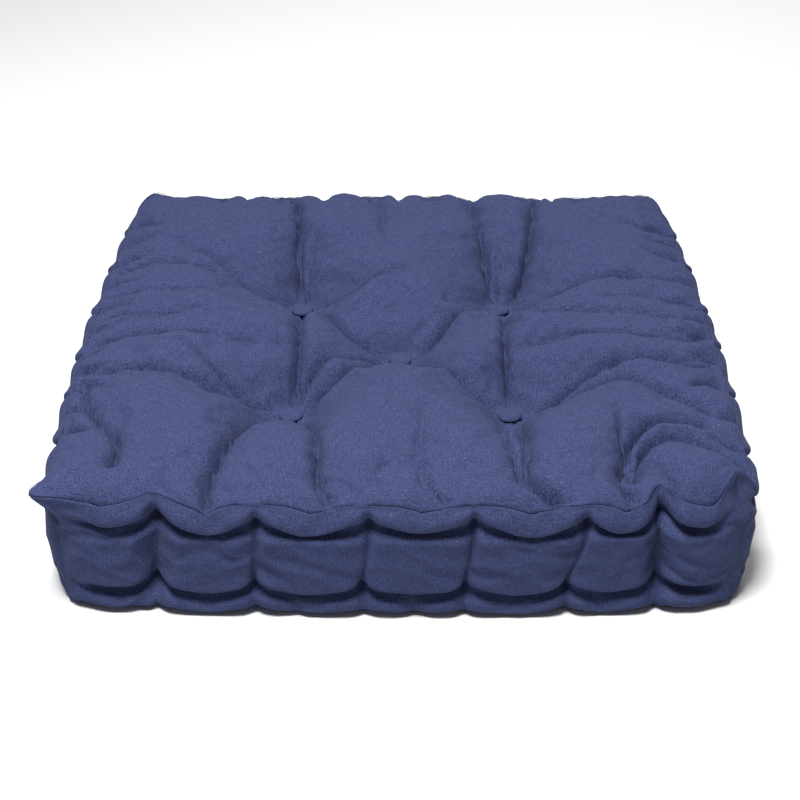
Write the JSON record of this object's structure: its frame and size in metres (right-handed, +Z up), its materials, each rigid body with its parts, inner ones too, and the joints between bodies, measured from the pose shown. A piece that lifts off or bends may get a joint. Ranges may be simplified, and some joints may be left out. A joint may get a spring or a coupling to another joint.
{
  "type": "floor cushion",
  "caption": "Square mattress-stitched floor cushion: boxed cotton cover with rolled edges, covered tufting buttons on both faces and a thick wadding pad.",
  "frame": {"origin": "on the floor, under the middle of the cushion", "axes": "+Z up through the thickness, +X to the right and +Y to the back as seen from the front side"},
  "size_m": [0.5, 0.5, 0.11],
  "materials": {
    "cover_cotton": "matt plain-weave cotton, navy",
    "sewing_thread": "polyester sewing thread, dark navy",
    "tufting_twine": "waxed cotton twine, dark navy",
    "wadding": "needled cotton and polyester wadding, off-white",
    "button_cotton": "the cover's cotton stretched over a metal cap",
    "button_metal": "pressed aluminium back plate"
  },
  "bodies": {
    "root": {"top_panel": "cover_cotton", "boxing": "cover_cotton", "bottom_panel": "cover_cotton", "top_seam_thread": "sewing_thread", "bottom_seam_thread": "sewing_thread", "filling": "wadding", "top_edge_twine_front": "tufting_twine", "top_edge_twine_right": "tufting_twine", "top_edge_twine_back": "tufting_twine", "top_edge_twine_left": "tufting_twine", "bottom_edge_twine_front": "tufting_twine", "bottom_edge_twine_right": "tufting_twine", "bottom_edge_twine_back": "tufting_twine", "bottom_edge_twine_left": "tufting_twine", "top_button_centre": "button_cotton", "top_button_plate_centre": "button_metal", "bottom_button_centre": "button_cotton", "bottom_button_plate_centre": "button_metal", "tuft_twine_centre": "tufting_twine", "top_button_front_left": "button_cotton", "top_button_plate_front_left": "button_metal", "bottom_button_front_left": "button_cotton", "bottom_button_plate_front_left": "button_metal", "tuft_twine_front_left": "tufting_twine", "top_button_front_right": "button_cotton", "top_button_plate_front_right": "button_metal", "bottom_button_front_right": "button_cotton", "bottom_button_plate_front_right": "button_metal", "tuft_twine_front_right": "tufting_twine", "top_button_back_right": "button_cotton", "top_button_plate_back_right": "button_metal", "bottom_button_back_right": "button_cotton", "bottom_button_plate_back_right": "button_metal", "tuft_twine_back_right": "tufting_twine", "top_button_back_left": "button_cotton", "top_button_plate_back_left": "button_metal", "bottom_button_back_left": "button_cotton", "bottom_button_plate_back_left": "button_metal", "tuft_twine_back_left": "tufting_twine"}
  },
  "joints": []
}
